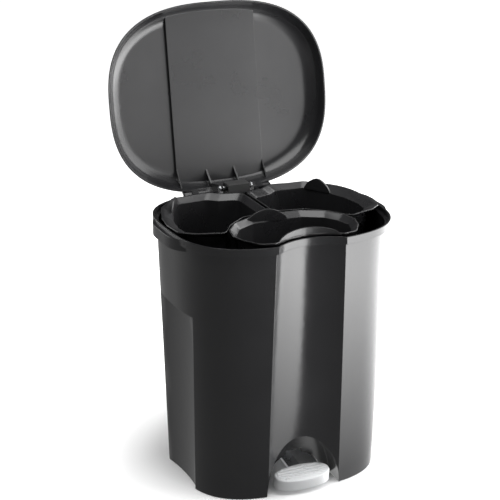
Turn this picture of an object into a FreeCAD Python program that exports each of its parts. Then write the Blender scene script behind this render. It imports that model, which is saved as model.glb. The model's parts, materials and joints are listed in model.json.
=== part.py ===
"""Pedal waste bin with three lift-out buckets, modelled with its lid open and its pedal pressed.

Millimetres. +Z is up, the pedal faces -Y and +X is to the right of a person facing the pedal.
Z = 0 is the floor, X = 0 is the plane of symmetry, and the origin lies under the middle of the
open bin. The geometry below is laid out from the plan centre of the moulding; every piece is
shifted by pose_centre at the end, which puts that origin where it belongs.
"""
import FreeCAD, Part
import math
import os
import re
from FreeCAD import Placement, Rotation, Vector

os.makedirs("parts", exist_ok=True)
doc = FreeCAD.newDocument("PedalBin")

# ---------------------------------------------------------------------------------------------
# Driving sizes
# ---------------------------------------------------------------------------------------------
SIZES = [
    ("pose_centre", 45.0, "distance from the plan's zero line back to the middle of the open bin"),
    # outer body
    ("rim_height", 470.0, "floor to the top of the rim"),
    ("wall", 3.0, "wall of the body moulding"),
    ("plan_power", 3.0, "squareness of the body's plan outline"),
    ("plan_middle", -10.0, "y where the body is widest"),
    ("rim_half_width", 191.0, "body at the rim"),
    ("rim_front", 169.0, "body at the rim, from its widest line to the front"),
    ("rim_back", 148.0, "body at the rim, from its widest line to the back"),
    ("base_half_width", 179.0, "body at the floor"),
    ("base_front", 150.0, "body at the floor, to the front"),
    ("base_back", 130.0, "body at the floor, to the back"),
    ("base_gap", 1.0, "body's lower edge above the floor it stands on"),
    ("band_height", 13.0, "rim band"),
    ("band_reach", 6.0, "how far the rim band stands out"),
    ("ledge_drop", 9.0, "ledge inside the rim band, below the rim"),
    ("channel_rim_half", 63.0, "front channel, half its width at the rim"),
    ("channel_rim_depth", 22.0, "front channel, depth at the rim"),
    ("channel_base_half", 69.0, "front channel, half its width at the floor"),
    ("channel_base_depth", 20.0, "front channel, depth at the floor"),
    ("floor_top", 77.0, "upper face of the body's floor"),
    ("floor_thick", 5.0, "body's floor"),
    ("arch_half_width", 70.0, "pedal arch"),
    ("arch_height", 96.0, "pedal arch"),
    ("niche_back", -116.0, "y of the wall behind the pedal"),
    ("slot_half_width", 54.0, "arched slot in that wall for the tread"),
    ("slot_height", 54.0, "that slot's crown"),
    ("scoop_front", -79.0, "y of the side scoop's front edge at the floor"),
    ("scoop_lean", 14.0, "how far that edge leans forward by the scoop's top"),
    ("scoop_rear", 46.0, "y where the scoop runs out"),
    ("scoop_height", 332.0, "top of the side scoop"),
    ("scoop_depth", 12.0, "depth of the side scoop"),
    ("lug_half_width", 206.0, "carrying lip, from the middle of the bin"),
    ("lug_half_length", 88.0, "carrying lip, along the side"),
    ("lug_middle", -14.0, "y of the carrying lip's middle"),
    ("lug_step", 3.0, "carrying lip's top below the rim, clear of the closed lid"),
    ("lug_drop", 23.0, "carrying lip, from the rim down"),
    ("lug_wall", 3.0, "carrying lip"),
    ("groove_half_width", 38.0, "rear groove for the lift rod"),
    ("groove_face", 119.0, "y of the rear groove's face"),
    # lid and its hinge
    ("hinge_back", 162.0, "y of the lid's hinge line"),
    ("hinge_height", 450.0, "z of the lid's hinge line"),
    ("lid_opening", 99.15, "degrees from closed to open"),
    ("lid_power", 2.66, "squareness of the lid's outline"),
    ("lid_half_width", 214.5, "lid"),
    ("lid_half_depth", 173.0, "lid, front to back"),
    ("lid_middle", -21.0, "y of the closed lid's middle"),
    ("lid_wall", 2.6, "lid moulding"),
    ("panel_rise", 49.5, "closed lid's inner panel above the hinge line"),
    ("skirt_depth", 32.0, "lid's skirt below its inner panel"),
    ("skirt_inset", 31.0, "inner panel's edge inside the skirt's edge"),
    ("skirt_slope", 12.0, "how far the skirt leans in before it rounds over"),
    ("step_half_width", 87.0, "raised middle of the inner panel"),
    ("step_height", 6.0, "raised middle of the inner panel"),
    ("pin_radius", 3.0, "hinge pin, crank pin, axle and lever pin"),
    ("running_gap", 0.05, "radial clearance of a turning pin"),
    ("barrel_radius", 7.0, "hinge barrels"),
    ("knuckle_inner", 44.0, "x where each body knuckle begins"),
    ("knuckle_width", 11.0, "body knuckle"),
    ("arm_inner", 59.0, "x where each lid arm begins"),
    ("arm_width", 11.0, "lid arm"),
    ("strap_half_width", 87.0, "rear strap of the lid between its outer gussets"),
    ("ear_inner", 26.0, "x where each crank ear begins"),
    ("ear_width", 3.5, "crank ear"),
    ("crank_radius", 32.0, "hinge line to crank pin"),
    # lift rod
    ("rod_radius", 3.0, "lift rod"),
    ("rod_back", 135.6, "y of the lift rod"),
    ("head_half_width", 21.0, "rod head"),
    ("head_half_depth", 13.0, "rod head"),
    ("head_below", 13.0, "rod head, below the crank pin"),
    ("head_above", 9.5, "rod head, above the crank pin"),
    ("slot_play", 2.2, "play of a cross pin in its slot, above and below"),
    ("guide_low", 120.0, "z of the lower rod guide"),
    ("guide_high", 300.0, "z of the upper rod guide"),
    # rear cover
    ("cover_half_width", 36.0, "rod cover"),
    ("cover_back", 152.5, "y of the rod cover's outer face"),
    ("cover_wall", 2.5, "rod cover"),
    ("cover_base", 4.0, "z of the rod cover's lower edge"),
    ("cover_top", 402.0, "z of the rod cover's upper edge"),
    ("boss_side", 27.0, "x of the cover's screw bosses"),
    ("boss_low", 100.0, "z of the lower bosses"),
    ("boss_high", 370.0, "z of the upper bosses"),
    ("screw_radius", 2.0, "screws"),
    # pedal
    ("pivot_back", -35.0, "y of the pedal's axle"),
    ("pivot_height", 38.0, "z of the pedal's axle"),
    ("tread_reach", 115.0, "axle to the middle of the tread"),
    ("tread_half_width", 52.0, "tread"),
    ("tread_half_depth", 23.0, "tread"),
    ("tread_thick", 21.0, "tread"),
    ("tread_wall", 2.5, "tread"),
    ("lever_half_width", 11.0, "pedal lever"),
    ("lever_thick", 6.0, "pedal lever"),
    ("bracket_inner", 17.0, "x where each axle bracket begins"),
    ("bracket_wall", 4.0, "axle bracket"),
    # feet
    ("foot_radius", 11.0, "rubber foot"),
    ("foot_height", 2.5, "rubber foot below its column"),
    ("foot_side", 118.0, "x of the feet"),
    ("foot_front", -92.0, "y of the front feet"),
    ("foot_rear", 72.0, "y of the rear feet"),
    # buckets
    ("bucket_wall", 2.0, "buckets"),
    ("bucket_lip", 474.0, "z of the buckets' lips"),
    ("collar_drop", 9.0, "sloping collar, lip to throat"),
    ("collar_width", 10.0, "sloping collar"),
    ("bucket_base", 77.5, "z of the buckets' undersides"),
    ("bucket_draft", 9.0, "how far the walls draw in by the bottom"),
    ("side_lip_reach", 193.0, "side buckets, outermost x"),
    ("side_lip_back", 127.0, "side buckets, rearmost y"),
    ("side_lip_front", -92.0, "side buckets, foremost y"),
    ("side_draw", 1.8, "side buckets draw in this much faster beside the scoops"),
    ("bucket_gap", 3.0, "half the gap between neighbouring lips"),
    ("niche_draw", 3.6, "front bucket draws in this much faster above the pedal niche"),
    ("niche_spread", 1.2, "front bucket's hollow widens this much as it draws in"),
    ("front_lip_half_width", 114.0, "front bucket"),
    ("front_lip_back", -27.0, "front bucket, rearmost y"),
    ("flap_half_width", 57.0, "upright flap at the front bucket's front"),
    ("flap_height", 12.0, "that flap above the lip"),
    ("tab_height", 14.0, "grip tabs above the lip"),
    ("tab_half_length", 42.0, "front bucket's grip tab"),
    ("front_tab_x", -20.0, "x of the middle of that tab"),
    ("tab_thick", 3.0, "grip tabs"),
]

sheet = doc.addObject("Spreadsheet::Sheet", "Sizes")
for row, (alias, number, note) in enumerate(SIZES, start=1):
    sheet.set(f"A{row}", alias)
    sheet.set(f"B{row}", str(number))
    sheet.set(f"C{row}", note)
    sheet.setAlias(f"B{row}", alias)
doc.recompute()
ALIASES = [alias for alias, _, _ in SIZES]


class Values:
    """The sheet's cells as numbers, one attribute per alias."""


size = Values()
for alias in ALIASES:
    setattr(size, alias, float(sheet.get(alias)))

# Linkage. The crank pin moves symmetrically about the level of the hinge line, and the lever
# swings symmetrically about level, so both arms give the same stroke.
HALF_OPENING = math.radians(size.lid_opening) / 2
STROKE = 2 * size.crank_radius * math.sin(HALF_OPENING)
REAR_ARM = size.rod_back - size.pivot_back
LEVER_SWING = math.degrees(math.asin(STROKE / 2 / REAR_ARM))
CRANK_NEAR = size.crank_radius * math.cos(HALF_OPENING)
PIN_SWAY = size.crank_radius - CRANK_NEAR
LEVER_SWAY = REAR_ARM * (1 - math.cos(math.radians(LEVER_SWING)))
HINGE = Vector(0, size.hinge_back, size.hinge_height)
AXLE = Vector(0, size.pivot_back, size.pivot_height)
CLOSED_PIN = HINGE + Vector(0, -CRANK_NEAR, -STROKE / 2)
OPEN_PIN = HINGE + Vector(0, -CRANK_NEAR, STROKE / 2)
LEVER_PIN = AXLE + Vector(0, REAR_ARM * math.cos(math.radians(LEVER_SWING)), STROKE / 2)
PANEL = size.hinge_height + size.panel_rise
SKIRT_EDGE = PANEL - size.skirt_depth
X_AXIS = Vector(1, 0, 0)
Y_AXIS = Vector(0, 1, 0)
Z_AXIS = Vector(0, 0, 1)
TO_ORIGIN = Vector(0, -size.pose_centre, 0)

pieces = []


# ---------------------------------------------------------------------------------------------
# Helpers
# ---------------------------------------------------------------------------------------------
def linked(text):
    """An expression with each alias turned into a reference to the sheet."""
    return re.sub(r"\b(" + "|".join(ALIASES) + r")\b", r"Sizes.\1", text)


def turned_about(point, axis, degrees):
    """The placement that turns a piece about a point, and then shifts it to the origin."""
    turn = Placement(Vector(), Rotation(axis, degrees), point)
    return Placement(TO_ORIGIN, Rotation()).multiply(turn)


OPEN = turned_about(HINGE, X_AXIS, -size.lid_opening)
PRESSED = turned_about(AXLE, X_AXIS, LEVER_SWING)
STILL = Placement(TO_ORIGIN, Rotation())


def keep(piece, name, placement=STILL):
    """Name a finished sub-part and place it."""
    piece.Label = name
    piece.Placement = placement
    pieces.append(piece)
    return piece


def coded(name, shape, placement=STILL):
    """A sub-part whose shape is worked out below from the sheet."""
    piece = doc.addObject("Part::Feature", name)
    piece.Shape = shape
    return keep(piece, name, placement)


def body(name):
    return doc.addObject("PartDesign::Body", name)


AXIS_TURN = {
    "x": Rotation(Y_AXIS, 90),
    "y": Rotation(X_AXIS, -90),
    "z": Rotation(),
}


def shape_in(owner, kind, dimensions, at, along="z"):
    """Add a PartDesign primitive whose dimensions and place are bound to the sheet."""
    item = owner.newObject(f"PartDesign::{kind}", f"{owner.Name}_{kind}")
    item.Placement = Placement(Vector(), AXIS_TURN[along])
    for key, text in dimensions.items():
        item.setExpression(key, linked(text))
    for letter, text in zip("xyz", at):
        item.setExpression(f"Placement.Base.{letter}", linked(text))
    return item


def block(owner, low, high, cut=False):
    """A box between two corners, added to or cut from a body."""
    kind = "SubtractiveBox" if cut else "AdditiveBox"
    spans = {key: f"({b}) - ({a})" for key, a, b in zip(("Length", "Width", "Height"), low, high)}
    return shape_in(owner, kind, spans, low)


def round_bar(owner, radius, length, at, along="x", cut=False):
    """A cylinder that starts at a point and runs along an axis."""
    kind = "SubtractiveCylinder" if cut else "AdditiveCylinder"
    return shape_in(owner, kind, {"Radius": radius, "Height": length}, at, along)


def mirrored(shape):
    return shape.mirror(Vector(), X_AXIS)


def box(low, high):
    """A plain box shape between two corners."""
    low = Vector(*low)
    return Part.makeBox(*(Vector(*high) - low), low)


def bar(radius, start, length, axis=X_AXIS):
    return Part.makeCylinder(radius, length, Vector(*start), axis)


def plate(points, x_low, x_high):
    """A flat plate across X, from its side view as (y, z) points."""
    loop = [Vector(x_low, y, z) for y, z in points]
    face = Part.Face(Part.makePolygon(loop + loop[:1]))
    return face.extrude(Vector(x_high - x_low, 0, 0))


def reach(angle, half_width, half_depth, power):
    """Distance from the middle to a superellipse in one direction."""
    across = abs(math.cos(angle)) / half_width
    along = abs(math.sin(angle)) / half_depth
    return (across ** power + along ** power) ** (-1 / power)


def outline(half_width, front, back, middle, power, z, count=40):
    """A smooth closed superellipse wire at height z, with its own depth to the front and back."""
    points = []
    for step in range(count):
        angle = 2 * math.pi * step / count
        depth = back if math.sin(angle) >= 0 else front
        distance = reach(angle, half_width, depth, power)
        points.append(Vector(distance * math.cos(angle), middle + distance * math.sin(angle), z))
    curve = Part.BSplineCurve()
    curve.interpolate(Points=points, PeriodicFlag=True)
    return Part.Wire(curve.toShape())


def between(base_value, rim_value, z):
    """A size of the body at height z."""
    return base_value + (rim_value - base_value) * z / size.rim_height


def body_outline(z, grow=0.0):
    """The body's outer wall in plan at height z, without its channel and scoops."""
    return outline(
        between(size.base_half_width, size.rim_half_width, z) + grow,
        between(size.base_front, size.rim_front, z) + grow,
        between(size.base_back, size.rim_back, z) + grow,
        size.plan_middle,
        size.plan_power,
        z,
    )


def body_envelope(z_low, z_high, grow=0.0):
    """The closed outer form of the body between two heights."""
    return Part.makeLoft([body_outline(z_low, grow), body_outline(z_high, grow)], True, True)


def wall_side(y, z):
    """Half the body's width at one place along its side."""
    half_width = between(size.base_half_width, size.rim_half_width, z)
    front = between(size.base_front, size.rim_front, z)
    back = between(size.base_back, size.rim_back, z)
    depth = back if y > size.plan_middle else front
    share = abs(y - size.plan_middle) / depth
    return half_width * (1 - share ** size.plan_power) ** (1 / size.plan_power)


def wall_front(x, z):
    """The y of the body's front wall at one x, before the channel is cut."""
    half_width = between(size.base_half_width, size.rim_half_width, z)
    front = between(size.base_front, size.rim_front, z)
    return size.plan_middle - front * (1 - (x / half_width) ** size.plan_power) ** (1 / size.plan_power)


def channel(grow):
    """The round tool that hollows the front, grown inwards to leave a wall."""
    rings = []
    for z in (-1.0, size.rim_height + 1.0):
        half = between(size.channel_base_half, size.channel_rim_half, z)
        depth = between(size.channel_base_depth, size.channel_rim_depth, z)
        radius = (half ** 2 + depth ** 2) / (2 * depth)
        middle = wall_front(half, z) + depth - radius
        circle = Part.makeCircle(radius + grow, Vector(0, middle, z))
        rings.append(Part.Wire(circle))
    return Part.makeLoft(rings, True, True)


def scoop(grow):
    """The shallow recess low on the right side, grown inwards to leave a wall."""
    wires = []
    for z in (-1.0, size.scoop_height + grow):
        share = z / size.scoop_height
        front = size.scoop_front - size.scoop_lean * share - grow
        rear = size.scoop_rear + grow
        middle = (front + rear) / 2
        bevel = 8.0
        outside = wall_side(front, z) + 40
        start = Vector(wall_side(front, z) + 0.5 - grow, front, z)
        step = Vector(wall_side(front + bevel, z) - size.scoop_depth / 2 - grow, front + bevel, z)
        deep = Vector(wall_side(middle, z) - size.scoop_depth - grow, middle, z)
        end = Vector(wall_side(rear, z) + 0.5 - grow, rear, z)
        corner_rear = Vector(outside, rear, z)
        corner_front = Vector(outside, front, z)
        edges = [
            Part.LineSegment(start, step).toShape(),
            Part.Arc(step, deep, end).toShape(),
            Part.LineSegment(end, corner_rear).toShape(),
            Part.LineSegment(corner_rear, corner_front).toShape(),
            Part.LineSegment(corner_front, start).toShape(),
        ]
        wires.append(Part.Wire(edges))
    return Part.makeLoft(wires, True, True)


def niche(grow):
    """The arched recess around the pedal, grown to leave a wall."""
    arch = Part.Ellipse(Vector(), size.arch_height + grow, size.arch_half_width + grow)
    flat = arch.toShape()
    flat.rotate(Vector(), Y_AXIS, -90)
    flat.rotate(Vector(), Z_AXIS, 90)
    flat = flat if abs(flat.BoundBox.YLength) < 1 else flat.rotated(Vector(), Z_AXIS, 90)
    front = size.plan_middle - size.rim_front - 30
    flat.translate(Vector(0, front, 0))
    tunnel = Part.Face(Part.Wire(flat)).extrude(Vector(0, size.niche_back + grow - front, 0))
    return tunnel


def groove(grow):
    """The upright recess at the back that the lift rod runs in."""
    side = size.groove_half_width + grow
    return box((-side, size.groove_face - grow, -1), (side, 260, size.rim_height + 1))


# ---------------------------------------------------------------------------------------------
# Outer body
# ---------------------------------------------------------------------------------------------
def carved(shape, grow):
    """Cut the channel, both scoops, the pedal niche and the rear groove out of a form."""
    right = scoop(grow)
    for tool in (channel(grow), right, mirrored(right), niche(grow), groove(grow)):
        shape = shape.cut(tool)
    return shape


def rim_band():
    """The band round the rim, still full inside."""
    low = size.rim_height - size.band_height
    ring = body_outline(size.rim_height, size.band_reach)
    ring.translate(Vector(0, 0, -size.band_height))
    band = Part.Face(ring).extrude(Vector(0, 0, size.rim_height - low))
    return band.cut(channel(-size.band_reach)).cut(groove(0))


def carrying_lips():
    """The two curled lips to carry the bin by, still full inside the wall."""
    low = size.rim_height - size.lug_drop
    reach_out = size.lug_half_width
    length = size.lug_half_length
    thin = size.lug_wall
    tall = size.lug_drop - size.lug_step
    outer = outline(reach_out, length, length, size.lug_middle, 4, low)
    inner = outline(reach_out - thin, length - thin, length - thin, size.lug_middle, 4, low - 1)
    lip = Part.Face(outer).extrude(Vector(0, 0, tall))
    return lip.cut(Part.Face(inner).extrude(Vector(0, 0, tall + 1 - thin)))


def knuckles():
    """Two ears on the back of the body that hold the hinge pin."""
    ears = []
    for side in (-1, 1):
        low = side * size.knuckle_inner
        high = side * (size.knuckle_inner + size.knuckle_width)
        x_low = min(low, high)
        width = size.knuckle_width
        near = size.plan_middle + size.rim_back - 6
        radius = size.barrel_radius
        profile = [
            (near, HINGE.z - 30),
            (near, HINGE.z + radius),
            (HINGE.y, HINGE.z + radius),
            (HINGE.y + radius * 0.7, HINGE.z - radius * 0.7),
        ]
        web = plate(profile, x_low, x_low + width)
        ears.append(web.fuse(bar(radius, (x_low, HINGE.y, HINGE.z), width)))
    return ears[0].fuse(ears[1])


def foot_places():
    for x in (-size.foot_side, size.foot_side):
        for y in (size.foot_front, size.foot_rear):
            yield x, y


def screw_places():
    """Where the rod cover is screwed on, as (x, z)."""
    for x in (-size.boss_side, size.boss_side):
        for z in (size.boss_low, size.boss_high):
            yield x, z


BRACKET_SCREW_X = size.bracket_inner + size.bracket_wall + 9
BRACKET_SCREW_Y = (size.pivot_back - 11, size.pivot_back + 11)
BRACKET_BASE = 3.0
SCREW_BITE = 4.0
SCREW_HEAD = 2.5
SCREW_HEAD_RADIUS = 4.0


def bracket_screw_places():
    for x in (-BRACKET_SCREW_X, BRACKET_SCREW_X):
        for y in BRACKET_SCREW_Y:
            yield x, y


def outer_body():
    """The whole body moulding."""
    floor_under = size.floor_top - size.floor_thick
    shell = carved(body_envelope(size.base_gap, size.rim_height), 0)
    cavity = carved(body_envelope(-1, size.rim_height + 1, -size.wall), size.wall)
    lower = cavity.common(box((-300, -300, -2), (300, 300, floor_under)))
    upper = cavity.common(box((-300, -300, size.floor_top), (300, 300, size.rim_height + 2)))
    shell = shell.fuse([rim_band(), carrying_lips(), knuckles()])
    rim_hollow = body_outline(size.rim_height, size.band_reach - size.wall)
    rim_hollow.translate(Vector(0, 0, -size.ledge_drop))
    rim_hollow = Part.Face(rim_hollow).extrude(Vector(0, 0, size.ledge_drop + 1))
    rim_hollow = rim_hollow.cut(channel(size.wall - size.band_reach)).cut(groove(size.wall))
    shell = shell.cut(upper).cut(lower).cut(rim_hollow)
    for x, y in foot_places():
        column = bar(9, (x, y, size.foot_height), floor_under - size.foot_height, Z_AXIS)
        shell = shell.fuse(column)
    for x, y in foot_places():
        shell = shell.cut(bar(4 + size.running_gap, (x, y, 0), size.foot_height + 10, Z_AXIS))
    hole = size.pin_radius + size.running_gap
    shell = shell.cut(bar(hole, (-100, HINGE.y, HINGE.z), 200))
    for x, z in screw_places():
        start = (x, size.groove_face - size.wall - 2, z)
        shell = shell.cut(bar(size.screw_radius + 0.03, start, 10, Y_AXIS))
    for x, y in bracket_screw_places():
        shell = shell.cut(bar(size.screw_radius + 0.03, (x, y, floor_under - 1), SCREW_BITE + 1, Z_AXIS))
    lever_gap = size.lever_half_width + 4
    front_drop = abs(size.niche_back - AXLE.y) * math.tan(math.radians(LEVER_SWING)) + 10
    shell = shell.cut(
        box(
            (-lever_gap, size.niche_back - 2, AXLE.z - front_drop),
            (lever_gap, size.niche_back + size.wall + 2, AXLE.z + front_drop),
        )
    )
    slot_left = Vector(-size.slot_half_width, size.niche_back - 2, -1)
    slot_right = Vector(size.slot_half_width, size.niche_back - 2, -1)
    crown = Vector(0, size.niche_back - 2, size.slot_height)
    sill = Part.LineSegment(slot_right, slot_left).toShape()
    arch = Part.Wire([Part.Arc(slot_left, crown, slot_right).toShape(), sill])
    shell = shell.cut(Part.Face(arch).extrude(Vector(0, size.wall + 4, 0)))
    rear_top = AXLE.z + STROKE / 2 + 8
    rear_low = (-lever_gap, size.groove_face - size.wall - 3, -1)
    return shell.cut(box(rear_low, (lever_gap, size.groove_face + 20, min(rear_top, floor_under - 2))))


# ---------------------------------------------------------------------------------------------
# Lid, closed; it is turned to its open pose when it is placed
# ---------------------------------------------------------------------------------------------
def lid_outline(inset, z):
    return outline(
        size.lid_half_width - inset,
        size.lid_half_depth - inset,
        size.lid_half_depth - inset,
        size.lid_middle,
        size.lid_power,
        z,
    )


def lid_form(inset, z_edge, z_top):
    """A flat top whose edge rounds over into a sloping skirt."""
    drop = z_top - z_edge
    rings = []
    for share in (0.0, 0.3, 0.6, 0.8, 0.93, 1.0):
        bend = max(0.0, share - 0.5) / 0.5
        slope = size.skirt_slope * share
        draw = slope + (size.skirt_inset - size.skirt_slope) * (1 - math.sqrt(1 - bend ** 2))
        rings.append(lid_outline(inset + draw, z_edge + drop * share))
    return Part.makeLoft(rings, True, False)


def lid_shape():
    thin = size.lid_wall
    shell = lid_form(0, SKIRT_EDGE, PANEL + thin)
    hollow = lid_form(thin, SKIRT_EDGE - 0.01, PANEL)
    panel_front = size.lid_middle - size.lid_half_depth + size.skirt_inset
    panel_back = size.lid_middle + size.lid_half_depth - size.skirt_inset
    step = size.step_half_width
    raised = box((-step, panel_front - 60, PANEL - size.step_height), (step, panel_back + 60, PANEL + 1))
    hollow = hollow.cut(raised)
    shell = shell.cut(hollow)
    strap_top = (panel_back + 22.5, PANEL - 27)
    strap_low = (HINGE.y - 4.5, HINGE.z + 9.5)
    strap = plate(
        [strap_top, (strap_top[0] + 4, strap_top[1]), (strap_low[0] + 3, strap_low[1]), strap_low],
        -size.strap_half_width,
        size.strap_half_width,
    )
    extras = [strap]
    radius = size.barrel_radius
    for side in (-1, 1):
        inner = side * size.arm_inner
        outer = side * (size.arm_inner + size.arm_width)
        x_low = min(inner, outer)
        arm = plate(
            [
                (strap_top[0], strap_top[1]),
                (strap_top[0] + 4, strap_top[1]),
                (HINGE.y + radius * 0.86, HINGE.z + radius * 0.5),
                (HINGE.y - radius * 0.86, HINGE.z - radius * 0.5),
            ],
            x_low,
            x_low + size.arm_width,
        )
        extras.append(arm)
        extras.append(bar(radius, (x_low, HINGE.y, HINGE.z), size.arm_width))
        x_low = side * size.strap_half_width - (2 if side > 0 else 0)
        gusset = plate(
            [
                (panel_back - 26, PANEL + 1),
                (panel_back, PANEL + 1),
                (HINGE.y - 6, HINGE.z + 12),
                (HINGE.y - 12, HINGE.z + 12),
                (HINGE.y - 16, HINGE.z + 21.5),
            ],
            x_low,
            x_low + 2,
        )
        extras.append(gusset)
        x_low = min(side * size.ear_inner, side * (size.ear_inner + size.ear_width))
        pin = CLOSED_PIN
        ear = plate(
            [
                (panel_back - 16, PANEL + 1),
                (panel_back + 2, PANEL + 1),
                (strap_low[0] + 1, strap_low[1] + 1),
                (pin.y + 5, pin.z - 2),
                (pin.y - 5, pin.z - 2),
                (pin.y - 5, pin.z + 30),
                (pin.y - 4, HINGE.z + 22),
            ],
            x_low,
            x_low + size.ear_width,
        )
        extras.append(ear)
        extras.append(bar(6, (x_low, pin.y, pin.z), size.ear_width))
    shell = shell.fuse(extras)
    hole = size.pin_radius + size.running_gap
    shell = shell.cut(bar(hole, (-100, HINGE.y, HINGE.z), 200))
    return shell.cut(bar(hole, (-40, CLOSED_PIN.y, CLOSED_PIN.z), 80))


# ---------------------------------------------------------------------------------------------
# Buckets
# ---------------------------------------------------------------------------------------------
def side_plan(inset):
    """The right bucket's lip in plan, drawn in by inset: straight runs with rounded corners."""
    left = size.bucket_gap + inset
    right = size.side_lip_reach - inset * size.side_draw
    back = size.side_lip_back - inset
    front = size.side_lip_front + inset
    notch = size.front_lip_half_width + size.bucket_gap - inset * 0.3
    arc_back = size.front_lip_back + size.bucket_gap * 2 + inset
    return [
        (left, back - 24),
        (left + 36, back - 15),
        (left + 53, back),
        (130 - inset * 0.3, back - 4),
        (168 - inset * size.side_draw * 0.8, back - 48),
        (right - 6, 26),
        (right, -14),
        (right - 4, front + 34),
        (right - 26, front + 16),
        (notch, front),
        (notch - 22, front + 34),
        (notch - 58, arc_back - 6),
        (left, arc_back + 4),
    ]


def front_plan(inset):
    """The front bucket's lip in plan."""
    half = size.front_lip_half_width - inset
    back = size.front_lip_back - inset
    lobe = size.plan_middle - size.rim_front + 6 + inset
    below_throat = max(0.0, inset - size.collar_width)
    dip = lobe + size.channel_rim_depth - 2 + size.niche_draw * below_throat
    spread = size.niche_spread * below_throat
    right = [
        (0, back),
        (46, back - 3),
        (84 - inset * 0.4, back - 22),
        (half - 6, back - 54 + inset * 0.5),
        (half, size.front_lip_back - 84),
        (half - 8, lobe + 34 - inset * 0.6),
        (88 - inset * 0.3, lobe + 5),
        (62 + spread / 2, lobe),
        (40 + spread, dip - 8),
    ]
    left = [(-x, y) for x, y in right[:0:-1]]
    return right + [(0, dip)] + left


def rounded(points, radius, z):
    """A closed wire through plan points, with each corner cut by an arc."""
    edges = []
    count = len(points)
    starts = []
    ends = []
    middles = []
    for index in range(count):
        here = Vector(*points[index], z)
        to_last = Vector(*points[index - 1], z) - here
        to_next = Vector(*points[(index + 1) % count], z) - here
        room = min(to_last.Length, to_next.Length) * 0.45
        turn = math.pi - to_last.getAngle(to_next)
        back_off = min(radius * math.tan(turn / 2), room)
        arc_radius = back_off / math.tan(turn / 2)
        to_last.normalize()
        to_next.normalize()
        inward = to_last + to_next
        inward.normalize()
        middle = here + inward * (arc_radius / math.cos(turn / 2) - arc_radius)
        starts.append(here + to_last * back_off)
        ends.append(here + to_next * back_off)
        middles.append(middle)
    for index in range(count):
        edges.append(Part.Arc(starts[index], middles[index], ends[index]).toShape())
        edges.append(Part.LineSegment(ends[index], starts[(index + 1) % count]).toShape())
    return Part.Wire(edges)


def bucket_form(plan, levels):
    """A closed form through a plan drawn in by (inset, z) at each level."""
    wires = [rounded(plan(inset), 14, z) for inset, z in levels]
    form = None
    for lower, upper in zip(wires, wires[1:]):
        part = Part.makeLoft([lower, upper], True, True)
        form = part if form is None else form.fuse(part)
    return form


def bucket(plan, tab_start, tab_end):
    """One bucket: tapered walls, a sloping collar and a grip tab that stands at the throat."""
    throat = size.bucket_lip - size.collar_drop
    thin = size.bucket_wall
    width = size.collar_width
    outer = bucket_form(
        plan,
        [(width + size.bucket_draft, size.bucket_base), (width, throat - 2), (0, size.bucket_lip - 2),
         (0, size.bucket_lip)],
    )
    inner = bucket_form(
        plan,
        [(width + size.bucket_draft + thin, size.bucket_base + thin), (width + thin, throat),
         (thin, size.bucket_lip + 0.01)],
    )
    shell = outer.cut(inner)
    start = Vector(*tab_start, throat - 1)
    end = Vector(*tab_end, throat - 1)
    facing = (end - start).cross(Z_AXIS)
    facing.normalize()
    middle = (start + end) / 2 + Vector(0, 0, size.tab_height + size.collar_drop)
    quarter_left = start + (end - start) * 0.22
    quarter_right = end + (start - end) * 0.22
    rise = Vector(0, 0, (size.tab_height + size.collar_drop) * 0.72)
    crown = Part.BSplineCurve()
    crown.interpolate(Points=[start, quarter_left + rise, middle, quarter_right + rise, end])
    face = Part.Face(Part.Wire([crown.toShape(), Part.LineSegment(end, start).toShape()]))
    return shell.fuse(face.extrude(facing * size.tab_thick))


def front_flap():
    """The upright crescent on the front bucket's lip, curved like the channel."""
    half = size.channel_rim_half
    depth = size.channel_rim_depth
    radius = (half ** 2 + depth ** 2) / (2 * depth)
    middle = wall_front(half, size.rim_height) + depth - radius
    low = size.rim_height + 0.5
    tall = size.bucket_lip + size.flap_height - low
    ring = bar(radius + 4, (0, middle, low), tall, Z_AXIS)
    ring = ring.cut(bar(radius + 1.5, (0, middle, low), tall, Z_AXIS))
    crown = Part.Ellipse(Vector(), size.flap_half_width, tall)
    crown = Part.Face(Part.Wire(crown.toShape()))
    crown.rotate(Vector(), X_AXIS, 90)
    crown.translate(Vector(0, middle + radius + 20, low))
    return ring.common(crown.extrude(Vector(0, -80, 0)))


# ---------------------------------------------------------------------------------------------
# Small pieces
# ---------------------------------------------------------------------------------------------
def pin(name, at, half_length, placement=STILL):
    """A plain round pin across X, centred on the bin."""
    piece = body(name)
    round_bar(piece, "pin_radius", f"2 * ({half_length})", (f"-({half_length})", at[0], at[1]))
    return keep(piece, name, placement)


def end_rings(name, centre, inner_x, width, placement=STILL):
    """Two push-on rings that keep a pin in place."""
    rings = []
    for x in (inner_x, -inner_x - width):
        start = Vector(x, centre.y, centre.z)
        ring = bar(size.pin_radius + 2.5, start, width).cut(bar(size.pin_radius + 0.02, start, width))
        rings.append(ring)
    return coded(name, Part.makeCompound(rings), placement)


def rod_head():
    """The block on top of the lift rod, slotted for the crank pin's sway."""
    piece = body("rod_head")
    z = str(round(OPEN_PIN.z, 4))
    half_slot = str(round(PIN_SWAY / 2 + 1.2, 4))
    block(
        piece,
        ("-head_half_width", "rod_back - head_half_depth", f"{z} - head_below"),
        ("head_half_width", "rod_back + head_half_depth", f"{z} + head_above"),
    )
    block(
        piece,
        ("-head_half_width - 1", f"rod_back - {half_slot}", f"{z} - pin_radius - slot_play"),
        ("head_half_width + 1", f"rod_back + {half_slot}", f"{z} + pin_radius + slot_play"),
        cut=True,
    )
    for sign in ("-", "+"):
        at = ("-head_half_width - 1", f"rod_back {sign} {half_slot}", z)
        round_bar(piece, "pin_radius + slot_play", "2 * head_half_width + 2", at, cut=True)
    socket = ("0", "rod_back", f"{z} - head_below - 1")
    round_bar(piece, "rod_radius", "7", socket, along="z", cut=True)
    return keep(piece, "rod_head")


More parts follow.
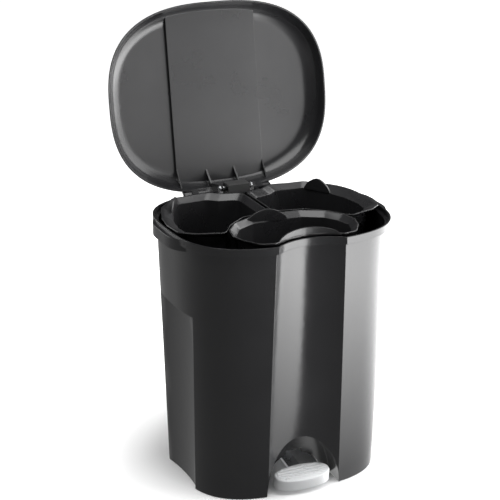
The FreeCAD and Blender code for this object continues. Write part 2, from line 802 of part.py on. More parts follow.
def rod_foot():
    """The block at the bottom of the lift rod, slotted for the lever's pin."""
    piece = body("rod_foot")
    z = str(round(LEVER_PIN.z, 4))
    half_slot = str(round(LEVER_SWAY + 0.8, 4))
    block(piece, ("-7", "rod_back - 9", f"{z} - 8"), ("7", "rod_back + 9", f"{z} + 14"))
    play = "pin_radius + 0.6"
    block(
        piece,
        ("-8", f"rod_back - {half_slot}", f"{z} - ({play})"),
        ("8", f"rod_back + {half_slot}", f"{z} + {play}"),
        cut=True,
    )
    for sign in ("-", "+"):
        round_bar(piece, play, "16", ("-8", f"rod_back {sign} {half_slot}", z), cut=True)
    round_bar(piece, "rod_radius", "9", ("0", "rod_back", f"{z} + 6"), along="z", cut=True)
    return keep(piece, "rod_foot")


def push_rod():
    piece = body("push_rod")
    low = LEVER_PIN.z + 6
    high = OPEN_PIN.z - size.head_below + 6
    length = str(round(high - low, 4))
    round_bar(piece, "rod_radius", length, ("0", "rod_back", str(round(low, 4))), along="z")
    return keep(piece, "push_rod")


def rod_guides():
    """Two clips on the groove's face that the rod slides through."""
    clips = []
    for z in (size.guide_low, size.guide_high):
        clip = box((-10, size.groove_face, z - 6), (10, size.rod_back + 7, z + 6))
        hole = bar(size.rod_radius + size.running_gap, (0, size.rod_back, z - 7), 14, Z_AXIS)
        clips.append(clip.cut(hole))
    return coded("rod_guides", Part.makeCompound(clips))


def rod_cover():
    """The long cover over the groove, with bosses for its screws."""
    half = size.cover_half_width
    thin = size.cover_wall
    outer = box((-half, size.groove_face, size.cover_base), (half, size.cover_back, size.cover_top))
    inner = box(
        (-half + thin, size.groove_face - 1, size.cover_base - 1),
        (half - thin, size.cover_back - thin, size.cover_top - thin),
    )
    cover = outer.cut(inner)
    for x, z in screw_places():
        depth = size.cover_back - size.groove_face
        cover = cover.fuse(bar(5, (x, size.groove_face, z), depth, Y_AXIS))
        cover = cover.cut(bar(size.screw_radius + 0.03, (x, size.groove_face - 1, z), depth + 2, Y_AXIS))
    rod_hole = bar(size.rod_radius + 1.5, (0, size.rod_back, size.cover_top - thin - 1), thin + 2, Z_AXIS)
    return coded("rod_cover", cover.cut(rod_hole))


def cover_screws():
    screws = []
    for x, z in screw_places():
        tip = size.groove_face - size.wall + 0.5
        shank = bar(size.screw_radius, (x, tip, z), size.cover_back - tip, Y_AXIS)
        head = bar(SCREW_HEAD_RADIUS, (x, size.cover_back, z), SCREW_HEAD, Y_AXIS)
        screws.append(shank.fuse(head))
    return coded("cover_screws", Part.makeCompound(screws))


def axle_brackets():
    """Two angle brackets under the floor that carry the pedal's axle."""
    ceiling = size.floor_top - size.floor_thick
    near = size.bracket_inner
    far = BRACKET_SCREW_X + 7
    y_low = AXLE.y - 17
    y_high = AXLE.y + 17
    pair = []
    for side in (-1, 1):
        upright = plate(
            [(y_low, ceiling), (y_high, ceiling), (AXLE.y + 8, AXLE.z - 7), (AXLE.y - 8, AXLE.z - 7)],
            near,
            near + size.bracket_wall,
        )
        flange = box((near, y_low, ceiling - BRACKET_BASE), (far, y_high, ceiling))
        bracket = upright.fuse(flange)
        bracket = bracket.cut(bar(size.pin_radius + size.running_gap, (0, AXLE.y, AXLE.z), 60))
        for y in BRACKET_SCREW_Y:
            start = (BRACKET_SCREW_X, y, ceiling - BRACKET_BASE - 1)
            bracket = bracket.cut(bar(size.screw_radius + 0.03, start, BRACKET_BASE + 2, Z_AXIS))
        pair.append(bracket if side > 0 else mirrored(bracket))
    return coded("axle_brackets", Part.makeCompound(pair))


def bracket_screws():
    ceiling = size.floor_top - size.floor_thick
    screws = []
    for x, y in bracket_screw_places():
        head_low = ceiling - BRACKET_BASE - SCREW_HEAD
        head = bar(SCREW_HEAD_RADIUS, (x, y, head_low), SCREW_HEAD, Z_AXIS)
        length = BRACKET_BASE + SCREW_BITE - 0.5
        shank = bar(size.screw_radius, (x, y, ceiling - BRACKET_BASE), length, Z_AXIS)
        screws.append(head.fuse(shank))
    return coded("bracket_screws", Part.makeCompound(screws))


TREAD_LIFT = 6.0
TREAD_SCREW_GAP = 13.0


def pedal_lever():
    """The flat steel lever: tread end, axle boss and a fork round the rod's foot."""
    piece = body("pedal_lever")
    rear = str(round(REAR_ARM, 4))
    low = "pivot_height - lever_thick / 2"
    high = "pivot_height + lever_thick / 2"
    front_end = "pivot_back - tread_reach - tread_half_depth + 9"
    block(
        piece,
        ("-lever_half_width", front_end, low),
        ("lever_half_width", f"pivot_back + {rear} + 7", high),
    )
    boss_at = ("-lever_half_width", "pivot_back", "pivot_height")
    round_bar(piece, "pin_radius + 5", "2 * lever_half_width", boss_at)
    eye_at = ("-lever_half_width", f"pivot_back + {rear}", "pivot_height")
    round_bar(piece, "pin_radius + 3", "2 * lever_half_width", eye_at)
    block(
        piece,
        ("-7.8", f"pivot_back + {rear} - 15", "pivot_height - 9"),
        ("7.8", f"pivot_back + {rear} + 10", "pivot_height + 9"),
        cut=True,
    )
    hole = "pin_radius + running_gap"
    for y in ("pivot_back", f"pivot_back + {rear}"):
        start = ("-lever_half_width - 1", y, "pivot_height")
        round_bar(piece, hole, "2 * lever_half_width + 2", start, cut=True)
    for sign in ("-", "+"):
        at = (f"{sign}{TREAD_SCREW_GAP / 2}", "pivot_back - tread_reach", f"{low} - 1")
        round_bar(piece, "screw_radius + 0.03", "lever_thick + 2", at, along="z", cut=True)
    return keep(piece, "pedal_lever", PRESSED)


def tread():
    """The oval foot pad: a hollow cap with a ribbed top and two screw bosses."""
    middle = AXLE.y - size.tread_reach
    lever_top = AXLE.z + size.lever_thick / 2
    top = lever_top + TREAD_LIFT + size.tread_wall
    low = top - size.tread_thick
    oval = outline(size.tread_half_width, size.tread_half_depth, size.tread_half_depth, middle, 2.4, low, 32)
    cap = Part.Face(oval).extrude(Vector(0, 0, size.tread_thick))
    rim_edges = [edge for edge in cap.Edges if abs(edge.BoundBox.ZMin - top) < 0.01]
    cap = cap.makeFillet(3.0, rim_edges)
    thin = size.tread_wall
    hollow = outline(
        size.tread_half_width - thin,
        size.tread_half_depth - thin,
        size.tread_half_depth - thin,
        middle,
        2.4,
        low - 1,
        32,
    )
    cap = cap.cut(Part.Face(hollow).extrude(Vector(0, 0, size.tread_thick + 1 - thin)))
    opening = size.lever_half_width + 1
    cap = cap.cut(box((-opening, middle, low - 1), (opening, middle + 40, lever_top + 1)))
    for index in range(-2, 3):
        offset = index * 7.0
        share = abs(offset) / (size.tread_half_depth - 3)
        half = (size.tread_half_width - 6) * (1 - share ** 2.4) ** (1 / 2.4)
        rib = box((-half, middle + offset - 1.3, top - 0.5), (half, middle + offset + 1.3, top + 1.2))
        cap = cap.fuse(rib)
    for x in (-TREAD_SCREW_GAP / 2, TREAD_SCREW_GAP / 2):
        boss = bar(4, (x, middle, lever_top), top - thin / 2 - lever_top, Z_AXIS)
        cap = cap.fuse(boss)
        cap = cap.cut(bar(size.screw_radius + 0.03, (x, middle, lever_top - 1), 7, Z_AXIS))
    return coded("pedal_tread", cap, PRESSED)


def tread_screws():
    middle = AXLE.y - size.tread_reach
    under = AXLE.z - size.lever_thick / 2
    screws = []
    for x in (-TREAD_SCREW_GAP / 2, TREAD_SCREW_GAP / 2):
        head = bar(SCREW_HEAD_RADIUS, (x, middle, under - SCREW_HEAD), SCREW_HEAD, Z_AXIS)
        shank = bar(size.screw_radius, (x, middle, under), size.lever_thick + 5, Z_AXIS)
        screws.append(head.fuse(shank))
    return coded("tread_screws", Part.makeCompound(screws), PRESSED)


def feet():
    pads = []
    for x, y in foot_places():
        pad = bar(size.foot_radius, (x, y, 0), size.foot_height, Z_AXIS)
        stem = bar(4, (x, y, size.foot_height), 8, Z_AXIS)
        pads.append(pad.fuse(stem))
    return coded("feet", Part.makeCompound(pads))


# ---------------------------------------------------------------------------------------------
# The assembly
# ---------------------------------------------------------------------------------------------
coded("outer_body", outer_body())
coded("lid", lid_shape(), OPEN)
right_bucket = bucket(side_plan, (126.5, 112.0), (156.0, 62.0))
coded("bucket_right", right_bucket)
coded("bucket_left", mirrored(right_bucket))
tab_y = size.front_lip_back - size.collar_width
tab_left = size.front_tab_x - size.tab_half_length
tab_right = size.front_tab_x + size.tab_half_length
front_bucket = bucket(front_plan, (tab_left, tab_y), (tab_right, tab_y))
coded("bucket_front", front_bucket.fuse(front_flap()))
pin("hinge_pin", ("hinge_back", "hinge_height"), "arm_inner + arm_width + 4")
end_rings("hinge_pin_rings", HINGE, size.arm_inner + size.arm_width + 0.3, 2.5)
crank_at = (str(round(CLOSED_PIN.y, 4)), str(round(CLOSED_PIN.z, 4)))
pin("crank_pin", crank_at, "ear_inner + ear_width + 3.5", OPEN)
end_rings("crank_pin_rings", CLOSED_PIN, size.ear_inner + size.ear_width + 0.3, 2, OPEN)
rod_head()
rod_foot()
push_rod()
rod_guides()
rod_cover()
cover_screws()
pedal_lever()
tread()
tread_screws()
pin("pedal_axle", ("pivot_back", "pivot_height"), "bracket_inner + bracket_wall + 3.5")
end_rings("axle_rings", AXLE, size.bracket_inner + size.bracket_wall + 0.3, 2)
lever_pin_y = str(round(AXLE.y + REAR_ARM, 4))
pin("lever_pin", (lever_pin_y, "pivot_height"), "lever_half_width + 3", PRESSED)
end_rings("lever_pin_rings", Vector(0, AXLE.y + REAR_ARM, AXLE.z), size.lever_half_width + 0.3, 2, PRESSED)
axle_brackets()
bracket_screws()
feet()

doc.recompute()
for item in doc.Objects:
    if "Invalid" in item.State or "Error" in item.State:
        raise RuntimeError(f"{item.Name} did not build: {item.State}")
for piece in pieces:
    if piece.Shape.isNull() or not piece.Shape.isValid():
        raise RuntimeError(f"{piece.Label} has no valid shape")
for piece in pieces:
    piece.Shape.exportStep(os.path.join("parts", piece.Label + ".step"))
    bounds = piece.Shape.BoundBox
    print(
        f"{piece.Label:16s} solids {len(piece.Shape.Solids)} volume {piece.Shape.Volume:12.1f}",
        f"y {bounds.YMin:7.1f} {bounds.YMax:7.1f}  z {bounds.ZMin:7.1f} {bounds.ZMax:7.1f}",
    )
print(f"stroke {STROKE:.3f}  lever swing {LEVER_SWING:.4f}")
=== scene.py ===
# %% [markdown]
# A pedal waste bin. The real one is injection moulded polypropylene with zinc-plated steel
# pins and a pale foot tread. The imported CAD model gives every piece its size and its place,
# and this lesson gives each of them the finish of the real thing, adds the fine detail that
# the solids leave out, and sets up a plain studio round them.

import json
import math

import bpy
import numpy as np
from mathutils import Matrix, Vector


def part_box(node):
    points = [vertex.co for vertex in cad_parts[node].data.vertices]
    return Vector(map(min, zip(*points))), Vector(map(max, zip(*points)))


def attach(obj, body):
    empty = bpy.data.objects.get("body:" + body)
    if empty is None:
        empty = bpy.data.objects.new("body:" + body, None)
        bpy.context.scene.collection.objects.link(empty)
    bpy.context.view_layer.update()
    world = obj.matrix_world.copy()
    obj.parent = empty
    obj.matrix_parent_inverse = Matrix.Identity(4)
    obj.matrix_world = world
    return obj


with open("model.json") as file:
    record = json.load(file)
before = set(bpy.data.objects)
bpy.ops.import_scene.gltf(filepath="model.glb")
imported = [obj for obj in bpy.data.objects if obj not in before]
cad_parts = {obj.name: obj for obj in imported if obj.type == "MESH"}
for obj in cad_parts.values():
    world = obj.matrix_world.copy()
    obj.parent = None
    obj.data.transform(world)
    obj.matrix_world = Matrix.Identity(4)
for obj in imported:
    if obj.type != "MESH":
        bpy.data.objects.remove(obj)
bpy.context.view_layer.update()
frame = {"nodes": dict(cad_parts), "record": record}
nodes = frame["nodes"]

# %% [markdown]
# The camera stands to the left of the bin and a little above it, with a long lens, so that
# the uprights stay nearly parallel.

# %% Camera
camera_place = (-1.00446, -2.23375, 1.25394)
camera_tilt = 70.41  # degrees up from straight down
camera_heading = -23.93  # degrees from +Y, towards +X when negative
focal_length_mm = 104.4

lens = bpy.data.cameras.new("camera")
lens.lens = focal_length_mm
lens.sensor_width = 36.0
camera = bpy.data.objects.new("camera", lens)
camera.location = camera_place
camera.rotation_euler = (math.radians(camera_tilt), 0.0, math.radians(camera_heading))
bpy.context.scene.collection.objects.link(camera)
bpy.context.scene.camera = camera
bpy.context.scene.view_settings.view_transform = "Standard"
print("camera looks down by", round(90 - camera_tilt, 2), "degrees")

# %% [markdown]
# Node trees are easier to read when each call says what it makes and what feeds it. These
# two helpers add a node with its settings, and join sockets by name.

# %% Node helpers
def add_node(tree, kind, inputs=None, **settings):
    """One node of a kind, with attributes from settings and sockets from inputs.
    A socket's value is a constant, or another node's output to link from."""
    node = tree.nodes.new(kind)
    for name, value in settings.items():
        setattr(node, name, value)
    for name, value in (inputs or {}).items():
        socket = node.inputs[name]
        if isinstance(value, bpy.types.NodeSocket):
            tree.links.new(value, socket)
        else:
            socket.default_value = value
    return node


def new_group(name, kind, sockets_in, sockets_out):
    """An empty node group with named sockets: sockets_in are (name, type, default)."""
    tree = bpy.data.node_groups.new(name, kind)
    for label, socket_type, default in sockets_in:
        socket = tree.interface.new_socket(label, in_out="INPUT", socket_type=socket_type)
        if default is not None:
            socket.default_value = default
    for label, socket_type in sockets_out:
        tree.interface.new_socket(label, in_out="OUTPUT", socket_type=socket_type)
    entry = tree.nodes.new("NodeGroupInput")
    leave = tree.nodes.new("NodeGroupOutput")
    return tree, entry, leave


# %% [markdown]
# A CAD mesh arrives as loose triangles, which shade as flat facets. Moulded plastic is smooth
# with a few crisp edges. A small geometry node tree joins the triangles and shades them
# smooth, and keeps an edge sharp only where its two faces meet at a real angle.

# %% Even shading for CAD meshes
join_distance = 0.00002
sharp_angle = 0.5  # radians between two faces

shading, entry, leave = new_group(
    "even_shading",
    "GeometryNodeTree",
    [("Geometry", "NodeSocketGeometry", None), ("Angle", "NodeSocketFloat", sharp_angle)],
    [("Geometry", "NodeSocketGeometry")],
)
joined = add_node(
    shading,
    "GeometryNodeMergeByDistance",
    {"Geometry": entry.outputs["Geometry"], "Distance": join_distance},
)
edge_angle = add_node(shading, "GeometryNodeInputMeshEdgeAngle")
sharp = add_node(
    shading,
    "FunctionNodeCompare",
    {"A": edge_angle.outputs["Unsigned Angle"], "B": entry.outputs["Angle"]},
    data_type="FLOAT",
    operation="GREATER_THAN",
)
smooth_faces = add_node(
    shading,
    "GeometryNodeSetShadeSmooth",
    {"Geometry": joined.outputs["Geometry"], "Shade Smooth": True},
    domain="FACE",
)
crisp_edges = add_node(
    shading,
    "GeometryNodeSetShadeSmooth",
    {
        "Geometry": smooth_faces.outputs["Geometry"],
        "Selection": sharp.outputs["Result"],
        "Shade Smooth": False,
    },
    domain="EDGE",
)
shading.links.new(crisp_edges.outputs["Geometry"], leave.inputs["Geometry"])
for name, piece in nodes.items():
    modifier = piece.modifiers.new("even shading", "NODES")
    modifier.node_group = shading
print("even shading on", len(nodes), "CAD nodes")

# %% [markdown]
# Three effects turn up in nearly every finish here. Moulded skin is the faint orange-peel
# swell and the uneven sheen of plastic that has cooled against steel. Handling is the cloudy
# dulling that hands and cloths leave. Edge rub is the paler line where a corner gets knocked.
# Each is one shader group that puts out plain values, so every finish can mix its own amounts.

# %% Shared effects
def object_noise(tree, scale, detail, roughness=0.5):
    """Noise on Object coordinates, so that a pattern stays with its piece."""
    place = add_node(tree, "ShaderNodeTexCoord")
    return add_node(
        tree,
        "ShaderNodeTexNoise",
        {
            "Vector": place.outputs["Object"],
            "Scale": scale,
            "Detail": detail,
            "Roughness": roughness,
        },
    )


def remap(tree, value, low, high, to_low, to_high):
    """A value from low..high mapped to to_low..to_high."""
    return add_node(
        tree,
        "ShaderNodeMapRange",
        {
            "Value": value,
            "From Min": low,
            "From Max": high,
            "To Min": to_low,
            "To Max": to_high,
        },
    ).outputs["Result"]


def arithmetic(tree, operation, a, b):
    """One Math node on two values."""
    node = add_node(tree, "ShaderNodeMath", operation=operation)
    for socket, value in zip(node.inputs, (a, b)):
        if isinstance(value, bpy.types.NodeSocket):
            tree.links.new(value, socket)
        else:
            socket.default_value = value
    return node.outputs[0]


skin_group, entry, leave = new_group(
    "moulded_skin",
    "ShaderNodeTree",
    [("Peel scale", "NodeSocketFloat", 260.0), ("Grain scale", "NodeSocketFloat", 2400.0),
     ("Grain share", "NodeSocketFloat", 0.3)],
    [("Height", "NodeSocketFloat")],
)
peel = object_noise(skin_group, entry.outputs["Peel scale"], 1.0)
grain = object_noise(skin_group, entry.outputs["Grain scale"], 2.0)
grain_part = arithmetic(
    skin_group, "MULTIPLY", grain.outputs["Fac"], entry.outputs["Grain share"]
)
skin_group.links.new(
    arithmetic(skin_group, "ADD", peel.outputs["Fac"], grain_part), leave.inputs["Height"]
)

handling_group, entry, leave = new_group(
    "handling",
    "ShaderNodeTree",
    [("Scale", "NodeSocketFloat", 9.0), ("Low", "NodeSocketFloat", 0.2),
     ("High", "NodeSocketFloat", 0.3)],
    [("Roughness", "NodeSocketFloat"), ("Mask", "NodeSocketFloat")],
)
clouds = object_noise(handling_group, entry.outputs["Scale"], 5.0, 0.6)
mask = remap(handling_group, clouds.outputs["Fac"], 0.35, 0.65, 0.0, 1.0)
dulled = remap(
    handling_group, mask, 0.0, 1.0, entry.outputs["Low"], entry.outputs["High"]
)
handling_group.links.new(dulled, leave.inputs["Roughness"])
handling_group.links.new(mask, leave.inputs["Mask"])

rub_group, entry, leave = new_group(
    "edge_rub",
    "ShaderNodeTree",
    [("Width", "NodeSocketFloat", 0.001), ("Strength", "NodeSocketFloat", 1.0)],
    [("Mask", "NodeSocketFloat"), ("Normal", "NodeSocketVector")],
)
rounded = add_node(
    rub_group, "ShaderNodeBevel", {"Radius": entry.outputs["Width"]}, samples=6
)
flat = add_node(rub_group, "ShaderNodeNewGeometry")
facing = add_node(rub_group, "ShaderNodeVectorMath", operation="DOT_PRODUCT")
rub_group.links.new(rounded.outputs["Normal"], facing.inputs[0])
rub_group.links.new(flat.outputs["Normal"], facing.inputs[1])
turned = remap(rub_group, facing.outputs["Value"], 0.995, 0.85, 0.0, 1.0)
patchy = object_noise(rub_group, 60.0, 3.0)
worn = arithmetic(
    rub_group, "MULTIPLY", turned, remap(rub_group, patchy.outputs["Fac"], 0.35, 0.6, 0.2, 1.0)
)
rub_group.links.new(
    arithmetic(rub_group, "MULTIPLY", worn, entry.outputs["Strength"]), leave.inputs["Mask"]
)
rub_group.links.new(rounded.outputs["Normal"], leave.inputs["Normal"])
print("shared effects:", [g.name for g in bpy.data.node_groups])

# %% [markdown]
# Black polypropylene is never quite black: a thin clear-looking surface reflects the lights
# in long soft bands, and the colour underneath varies a touch. One recipe makes the gloss of
# the body, the satin of the lid and the duller buckets, with different numbers.

# %% Plastic recipe
polypropylene_ior = 1.49


def plastic(name, dark, pale, sheen_low, sheen_high, peel_height, rub_colour,
            peel_scale=260.0, grain_scale=2400.0, grain_share=0.3, edge=0.001, rub=1.0,
            cloud_scale=9.0):
    """Moulded plastic: two close shades, cloudy roughness, faint peel and rubbed edges."""
    material = bpy.data.materials.new(name)
    material.use_nodes = True
    tree = material.node_tree
    shader = tree.nodes["Principled BSDF"]
    handling = add_node(tree, "ShaderNodeGroup", node_tree=handling_group)
    for label, value in (("Scale", cloud_scale), ("Low", sheen_low), ("High", sheen_high)):
        handling.inputs[label].default_value = value
    rubbed = add_node(tree, "ShaderNodeGroup", node_tree=rub_group)
    rubbed.inputs["Width"].default_value = edge
    rubbed.inputs["Strength"].default_value = rub
    shades = add_node(tree, "ShaderNodeMix", data_type="RGBA")
    tree.links.new(handling.outputs["Mask"], shades.inputs["Factor"])
    shades.inputs[6].default_value = (*dark, 1.0)
    shades.inputs[7].default_value = (*pale, 1.0)
    colour = add_node(tree, "ShaderNodeMix", data_type="RGBA")
    tree.links.new(rubbed.outputs["Mask"], colour.inputs["Factor"])
    tree.links.new(shades.outputs[2], colour.inputs[6])
    colour.inputs[7].default_value = (*rub_colour, 1.0)
    skin = add_node(tree, "ShaderNodeGroup", node_tree=skin_group)
    skin.inputs["Peel scale"].default_value = peel_scale
    skin.inputs["Grain scale"].default_value = grain_scale
    skin.inputs["Grain share"].default_value = grain_share
    bump = add_node(
        tree,
        "ShaderNodeBump",
        {"Height": skin.outputs["Height"], "Normal": rubbed.outputs["Normal"],
         "Strength": 1.0, "Distance": peel_height},
    )
    tree.links.new(colour.outputs[2], shader.inputs["Base Color"])
    tree.links.new(handling.outputs["Roughness"], shader.inputs["Roughness"])
    tree.links.new(bump.outputs["Normal"], shader.inputs["Normal"])
    shader.inputs["IOR"].default_value = polypropylene_ior
    return material


body_gloss = plastic("body_gloss", (0.010, 0.010, 0.011), (0.013, 0.013, 0.014),
                     0.16, 0.22, 0.00001, (0.05, 0.05, 0.05), edge=0.0012, rub=0.25)
lid_satin = plastic("lid_satin", (0.013, 0.013, 0.014), (0.015, 0.015, 0.016),
                    0.24, 0.27, 0.00001, (0.07, 0.07, 0.07), edge=0.0010, rub=0.25)
bucket_satin = plastic("bucket_satin", (0.012, 0.012, 0.013), (0.016, 0.016, 0.017),
                       0.24, 0.34, 0.00002, (0.10, 0.10, 0.10), edge=0.0014, rub=0.5)
link_nylon = plastic("link_nylon", (0.03, 0.03, 0.03), (0.04, 0.04, 0.04),
                     0.38, 0.5, 0.00002, (0.09, 0.09, 0.09), rub=0.4)
tread_pale = plastic("tread_pale", (0.70, 0.71, 0.72), (0.76, 0.77, 0.78),
                     0.38, 0.5, 0.00002, (0.84, 0.84, 0.84), rub=0.4)
foot_rubber = plastic("foot_rubber", (0.02, 0.02, 0.02), (0.035, 0.034, 0.033),
                      0.7, 0.85, 0.00005, (0.06, 0.06, 0.06), rub=0.3)

# %% [markdown]
# Zinc plating on steel is a grey metal with a fine spangle and a slightly dull, uneven sheen.

# %% Zinc-plated steel
zinc_steel = bpy.data.materials.new("zinc_steel")
zinc_steel.use_nodes = True
tree = zinc_steel.node_tree
shader = tree.nodes["Principled BSDF"]
shader.inputs["Metallic"].default_value = 1.0
spangle = object_noise(tree, 900.0, 3.0)
tint = add_node(tree, "ShaderNodeMix", data_type="RGBA")
tree.links.new(spangle.outputs["Fac"], tint.inputs["Factor"])
tint.inputs[6].default_value = (0.50, 0.51, 0.53, 1.0)
tint.inputs[7].default_value = (0.70, 0.71, 0.72, 1.0)
dull = add_node(tree, "ShaderNodeGroup", node_tree=handling_group)
dull.inputs["Scale"].default_value = 60.0
dull.inputs["Low"].default_value = 0.24
dull.inputs["High"].default_value = 0.42
soft_edge = add_node(tree, "ShaderNodeGroup", node_tree=rub_group)
soft_edge.inputs["Width"].default_value = 0.0004
tree.links.new(tint.outputs[2], shader.inputs["Base Color"])
tree.links.new(dull.outputs["Roughness"], shader.inputs["Roughness"])
tree.links.new(soft_edge.outputs["Normal"], shader.inputs["Normal"])

# %% Finish of every CAD node
finishes = {
    "body_plastic": body_gloss,
    "lid_plastic": lid_satin,
    "bucket_plastic": bucket_satin,
    "link_plastic": link_nylon,
    "tread_plastic": tread_pale,
    "zinc_steel": zinc_steel,
    "foot_rubber": foot_rubber,
}
slot_of = {part["node"]: part["material_slot"] for part in frame["record"]["subparts"]}
for name, piece in nodes.items():
    piece.data.materials.clear()
    piece.data.materials.append(finishes[slot_of[name]])
print("finishes set on", len(nodes), "nodes")

# %% [markdown]
# The tread is a pale push-on cap with five raised grip ribs along its length, moulded in one
# with it, so that a wet shoe doesn't slip. Each rib is a low rounded bar with tapered ends.
# A grid of points wrapped round the bar's axis makes one, and the tread's own box places it.

# %% Closed bars and domes from a formula
def mesh_piece(name, points, faces, body, material):
    """A mesh object from whole arrays of corners and quads, riding on a body."""
    mesh = bpy.data.meshes.new(name)
    mesh.from_pydata(points.tolist(), [], faces)
    mesh.validate()
    mesh.polygons.foreach_set("use_smooth", np.ones(len(mesh.polygons), dtype=bool))
    piece = bpy.data.objects.new(name, mesh)
    bpy.context.scene.collection.objects.link(piece)
    mesh.materials.append(material)
    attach(piece, body)
    return piece


def tube_faces(rings, around):
    """Quads that join each ring of points to the next, with one closing face at each end."""
    faces = []
    for ring in range(rings - 1):
        for step in range(around):
            after = (step + 1) % around
            low, high = ring * around, (ring + 1) * around
            faces.append((low + step, low + after, high + after, high + step))
    faces.append(tuple(range(around - 1, -1, -1)))
    faces.append(tuple(range((rings - 1) * around, rings * around)))
    return faces


def rounded_bar(start, end, width, height, rings, around):
    """Corners of a bar from start to end, laid flat, whose section is an ellipse of that
    width and height. Its size falls to a twentieth at the ends as sqrt(1 - u ** 8)."""
    start, end = np.array(start, float), np.array(end, float)
    u = -np.cos(np.linspace(0.0, np.pi, rings))
    size = np.maximum(0.05, np.sqrt(np.maximum(0.0, 1.0 - u ** 8)))
    along = end - start
    along_unit = along / np.linalg.norm(along)
    across = np.cross((0.0, 0.0, 1.0), along_unit)
    across /= np.linalg.norm(across)
    upward = np.cross(along_unit, across)
    turn = np.linspace(0.0, 2 * np.pi, around, endpoint=False)
    middle = start + np.outer((u + 1) / 2, along)
    side = np.outer(size, np.cos(turn)) * width / 2
    lift = np.outer(size, np.sin(turn)) * height / 2
    points = (
        middle[:, None, :] + side[..., None] * across + lift[..., None] * upward
    )
    return points.reshape(-1, 3)


def surface_at(node, start, toward):
    """The point where a straight line first meets a CAD node, or None."""
    hit, point, _, _ = nodes[node].ray_cast(start, toward)
    return np.array(point) if hit else None


# %% Grip ribs on the tread
rib_places = (0.20, 0.35, 0.50, 0.65, 0.80)  # shares of the tread's depth
rib_width, rib_height = 0.0022, 0.0018
rib_rings, rib_around = 24, 12
drop_from = 0.02  # height above the tread where each search line starts

tread_low, tread_high = (np.array(corner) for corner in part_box("pedal_tread"))
rib_half_length = 0.30 * (tread_high[0] - tread_low[0])
rib_points, rib_faces = [], []
for count, share in enumerate(rib_places):
    y = tread_low[1] + share * (tread_high[1] - tread_low[1])
    above = tread_high[2] + drop_from
    ends = []
    for x in (-rib_half_length, rib_half_length):
        ends.append(surface_at("pedal_tread", (x, y, above), (0, 0, -1)))
    if any(end is None for end in ends):
        continue
    shift = sum(len(block) for block in rib_points)
    bar = rounded_bar(ends[0], ends[1], rib_width, rib_height, rib_rings, rib_around)
    rib_points.append(bar)
    for face in tube_faces(rib_rings, rib_around):
        rib_faces.append(tuple(shift + corner for corner in face))
    print("rib", count, "at height", round(float(ends[0][2]), 4))
mesh_piece("tread_grip_ribs", np.concatenate(rib_points), rib_faces, "pedal",
           tread_pale)

# %% [markdown]
# The studio is one pale floor and four soft boxes: a large one on the right, a weak one at
# the front right for the lid to mirror, a dim one at the left rear, and one above that draws
# the thin bright lines on the lips and the rim. Glossy black shows little but what it
# mirrors, and its upright walls mirror the floor, seen from above. So the floor itself is given
# a painted glow, bright towards the right and fading near the bin: its edge towards the front
# paints the long upright reflection band on the channel, and its fade makes that band darker
# lower down.

# %% Soft boxes
def soft_box(name, at, look_at, width, height, watts):
    """A rectangular area light at a point, turned to face another."""
    light = bpy.data.lights.new(name, "AREA")
    light.shape = "RECTANGLE"
    light.size = width
    light.size_y = height
    light.energy = watts
    holder = bpy.data.objects.new(name, light)
    bpy.context.scene.collection.objects.link(holder)
    start, end = np.array(at, float), np.array(look_at, float)
    toward = (end - start) / np.linalg.norm(end - start)
    yaw = math.atan2(toward[0], -toward[1])
    pitch = math.acos(max(-1.0, min(1.0, -toward[2])))
    holder.location = at
    holder.rotation_euler = (pitch, 0.0, yaw + math.pi)
    holder.visible_camera = False
    return holder


soft_box("right_box", (1.15, -0.30, 0.75), (0.0, -0.25, 0.30), 2.2, 1.3, 40.0)
soft_box("left_rear_box", (-1.0, 1.1, 0.7), (0.0, 0.1, 0.3), 1.2, 1.3, 12.0)
soft_box("front_right_box", (1.0, -2.3, 0.85), (0.0, 0.0, 0.6), 1.3, 1.1, 7.0)
soft_box("top_box", (-0.15, -0.25, 1.9), (0.0, 0.0, 0.5), 1.3, 1.3, 26.0)

# %% [markdown]
# The floor has two sides to it. To the camera it is plain white with the bin's soft shadow,
# which a painted glow that starts a little away from the bin keeps near its foot. To everything
# else it is a painted glowing field that the black walls mirror as a painted reflection, bounded
# by two bearings seen from the channel, and fading towards the bin.

# %% Floor
reach = 9.0
shadow_starts, shadow_ends = 0.18, 0.42
channel_depth = 0.13
front_bearings = (math.radians(-66.0), math.radians(-62.0))
back_bearings = (math.radians(55.0), math.radians(35.0))
fade_from, fade_to = 0.25, 1.1
near_glow, far_glow = 1.5, 11.0
base_glow = 0.38

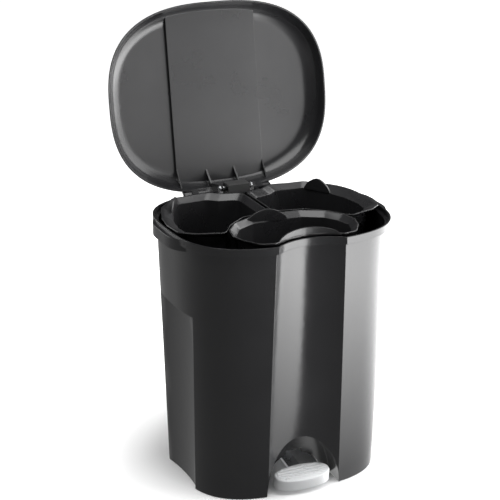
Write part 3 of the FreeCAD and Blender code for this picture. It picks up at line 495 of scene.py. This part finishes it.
floor_mesh = bpy.data.meshes.new("floor")
floor_mesh.from_pydata(
    [(-reach, -reach, 0), (reach, -reach, 0), (reach, reach, 0), (-reach, reach, 0)],
    [],
    [(0, 1, 2, 3)],
)
floor = bpy.data.objects.new("floor", floor_mesh)
bpy.context.scene.collection.objects.link(floor)
floor_paint_and_glow = bpy.data.materials.new("floor_paint_and_glow")
floor_paint_and_glow.use_nodes = True
tree = floor_paint_and_glow.node_tree
out = tree.nodes["Material Output"]
tree.nodes.remove(tree.nodes["Principled BSDF"])
rays = add_node(tree, "ShaderNodeLightPath")
seen = add_node(tree, "ShaderNodeBsdfDiffuse", {"Color": (0.85, 0.85, 0.85, 1.0)})
glow = add_node(tree, "ShaderNodeEmission", {"Color": (1.0, 1.0, 1.0, 1.0)})
both = add_node(tree, "ShaderNodeAddShader")
away = add_node(tree, "ShaderNodeNewGeometry")
spread = add_node(tree, "ShaderNodeVectorMath", operation="LENGTH")
tree.links.new(away.outputs["Position"], spread.inputs[0])
tree.links.new(
    remap(tree, spread.outputs["Value"], shadow_starts, shadow_ends, 0.0, 1.0),
    glow.inputs["Strength"],
)
tree.links.new(seen.outputs[0], both.inputs[0])
tree.links.new(glow.outputs[0], both.inputs[1])
# Painted light: the bearings and fade below shape the floor's glow, which paints the upright
# reflection band on the channel.
corner = add_node(tree, "ShaderNodeSeparateXYZ")
tree.links.new(away.outputs["Position"], corner.inputs[0])
from_channel = arithmetic(tree, "ADD", corner.outputs["Y"], channel_depth)
bearing = arithmetic(tree, "ARCTAN2", from_channel, corner.outputs["X"])
front_edge = remap(tree, bearing, *front_bearings, 0.0, 1.0)
back_edge = remap(tree, bearing, *back_bearings, 0.0, 1.0)
bright_side = arithmetic(tree, "MULTIPLY", front_edge, back_edge)
fade = remap(tree, spread.outputs["Value"], fade_from, fade_to, near_glow, far_glow)
falling = remap(tree, bearing, math.radians(-60.0), math.radians(-20.0), 1.0, 0.6)
lit = arithmetic(tree, "MULTIPLY", arithmetic(tree, "MULTIPLY", bright_side, fade), falling)
painted_glow_strength = arithmetic(tree, "ADD", lit, base_glow)
# Painted light: every ray but the camera's sees the floor as this glow, though the floor is no
# lamp.
painted_floor_glow = add_node(tree, "ShaderNodeEmission", {"Color": (1.0, 1.0, 1.0, 1.0), "Strength": painted_glow_strength})
choose = add_node(tree, "ShaderNodeMixShader")
tree.links.new(rays.outputs["Is Camera Ray"], choose.inputs[0])
tree.links.new(painted_floor_glow.outputs[0], choose.inputs[1])
tree.links.new(both.outputs[0], choose.inputs[2])
tree.links.new(choose.outputs[0], out.inputs["Surface"])
floor_mesh.materials.append(floor_paint_and_glow)

# %% Backdrop
world_light = 0.108  # what the pieces get; the camera itself sees white

world = bpy.data.worlds.new("studio")
world.use_nodes = True
tree = world.node_tree
looking = add_node(tree, "ShaderNodeLightPath")
backdrop = remap(tree, looking.outputs["Is Camera Ray"], 0.0, 1.0, world_light, 1.0)
tree.nodes["Background"].inputs["Color"].default_value = (1.0, 1.0, 1.0, 1.0)
tree.links.new(backdrop, tree.nodes["Background"].inputs["Strength"])
bpy.context.scene.world = world
